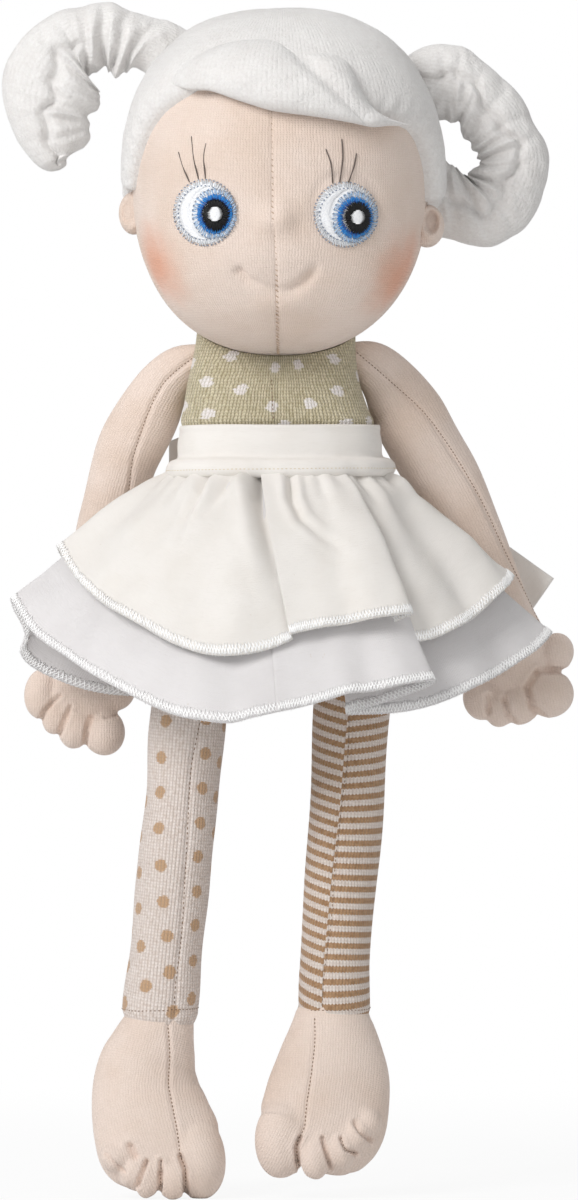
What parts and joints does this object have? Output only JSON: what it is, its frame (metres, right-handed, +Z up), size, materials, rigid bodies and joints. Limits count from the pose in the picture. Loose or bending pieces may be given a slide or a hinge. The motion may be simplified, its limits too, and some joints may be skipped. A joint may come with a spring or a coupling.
{
  "type": "cloth doll",
  "caption": "Soft cloth doll with stuffed head, arms and legs, velour pigtails, stitched eyes and a two-tier cotton skirt tied at the back; the head, arms, legs, feet and pigtails move.",
  "frame": {"origin": "centre of the waist, where a hand or the clip of a doll stand holds the doll", "axes": "+Z up along the body, the face towards -Y, the doll's left hand towards +X"},
  "size_m": [0.1687, 0.0961, 0.355],
  "materials": {
    "jersey": "fine skin-coloured cotton jersey",
    "velour": "short-pile white velour",
    "olive_knit": "coarse olive knit with woven white dots",
    "cotton": "plain-weave cream-white cotton",
    "dotted_knit": "off-white knit with tan dots",
    "striped_knit": "tan and off-white striped knit",
    "fibre_fill": "loose polyester fibre",
    "white_thread": "satin-stitched white thread",
    "blue_thread": "satin-stitched blue thread",
    "black_thread": "satin-stitched black thread",
    "lash_thread": "single dark thread"
  },
  "bodies": {
    "torso": {"torso_cover": "olive_knit", "torso_filling": "fibre_fill", "waistband": "cotton", "skirt_lower_tier": "cotton", "skirt_upper_tier": "cotton", "bow_knot": "cotton", "bow_loop_right": "cotton", "bow_loop_left": "cotton", "bow_tail_left": "cotton", "bow_tail_right": "cotton"},
    "neck": {"neck": "jersey"},
    "head": {"head_cover": "jersey", "head_filling": "fibre_fill", "hair_cap": "velour", "hair_fringe": "velour", "ear_right": "jersey", "ear_left": "jersey", "eye_white_right": "white_thread", "iris_right": "blue_thread", "pupil_right": "black_thread", "glint_right": "white_thread", "eye_white_left": "white_thread", "iris_left": "blue_thread", "pupil_left": "black_thread", "glint_left": "white_thread", "lash_right_1": "lash_thread", "lash_right_2": "lash_thread", "lash_right_3": "lash_thread", "lash_left_1": "lash_thread", "lash_left_2": "lash_thread", "lash_left_3": "lash_thread"},
    "pigtail_right": {"pigtail_right": "velour"},
    "pigtail_left": {"pigtail_left": "velour"},
    "arm_right": {"arm_right": "jersey", "arm_right_filling": "fibre_fill"},
    "arm_left": {"arm_left": "jersey", "arm_left_filling": "fibre_fill"},
    "leg_right": {"leg_right": "dotted_knit", "leg_right_filling": "fibre_fill"},
    "leg_left": {"leg_left": "striped_knit", "leg_left_filling": "fibre_fill"},
    "foot_right": {"foot_right": "jersey", "foot_right_filling": "fibre_fill"},
    "foot_left": {"foot_left": "jersey", "foot_left_filling": "fibre_fill"}
  },
  "joints": [
    {"name": "neck_nod", "type": "hinge", "parent": "torso", "child": "neck", "pos_m": [0, 0.004, 0.017], "axis": [1, 0, 0], "range_deg": [-15, 0]},
    {"name": "head_turn", "type": "hinge", "parent": "neck", "child": "head", "pos_m": [0, 0.004, 0.04], "axis": [0, 0, 1], "range_deg": [-30, 30]},
    {"name": "pigtail_right_flop", "type": "hinge", "parent": "head", "child": "pigtail_right", "pos_m": [-0.03438, 0.00024, 0.12221], "axis": [0, 1, 0], "range_deg": [-8, 30]},
    {"name": "pigtail_left_flop", "type": "hinge", "parent": "head", "child": "pigtail_left", "pos_m": [0.04365, -0.00017, 0.10991], "axis": [0, -1, 0], "range_deg": [0, 30]},
    {"name": "arm_right_lift", "type": "hinge", "parent": "torso", "child": "arm_right", "pos_m": [-0.028, 0.003, 0.0255], "axis": [0, 1, 0], "range_deg": [0, 60]},
    {"name": "arm_left_lift", "type": "hinge", "parent": "torso", "child": "arm_left", "pos_m": [0.028, 0.003, 0.0255], "axis": [0, -1, 0], "range_deg": [0, 50]},
    {"name": "leg_right_swing", "type": "hinge", "parent": "torso", "child": "leg_right", "pos_m": [-0.0238, 0, -0.044], "axis": [-1, 0, 0], "range_deg": [-20, 95], "deforming": ["skirt_lower_tier", "skirt_upper_tier"]},
    {"name": "leg_left_swing", "type": "hinge", "parent": "torso", "child": "leg_left", "pos_m": [0.0238, 0, -0.044], "axis": [-1, 0, 0], "range_deg": [-20, 95], "deforming": ["skirt_lower_tier", "skirt_upper_tier"]},
    {"name": "foot_right_bend", "type": "hinge", "parent": "leg_right", "child": "foot_right", "pos_m": [-0.03512, 0, -0.16598], "axis": [-1, 0, 0], "range_deg": [-12, 12]},
    {"name": "foot_left_bend", "type": "hinge", "parent": "leg_left", "child": "foot_left", "pos_m": [0.01611, 0, -0.16626], "axis": [-1, 0, 0], "range_deg": [-12, 12]}
  ]
}
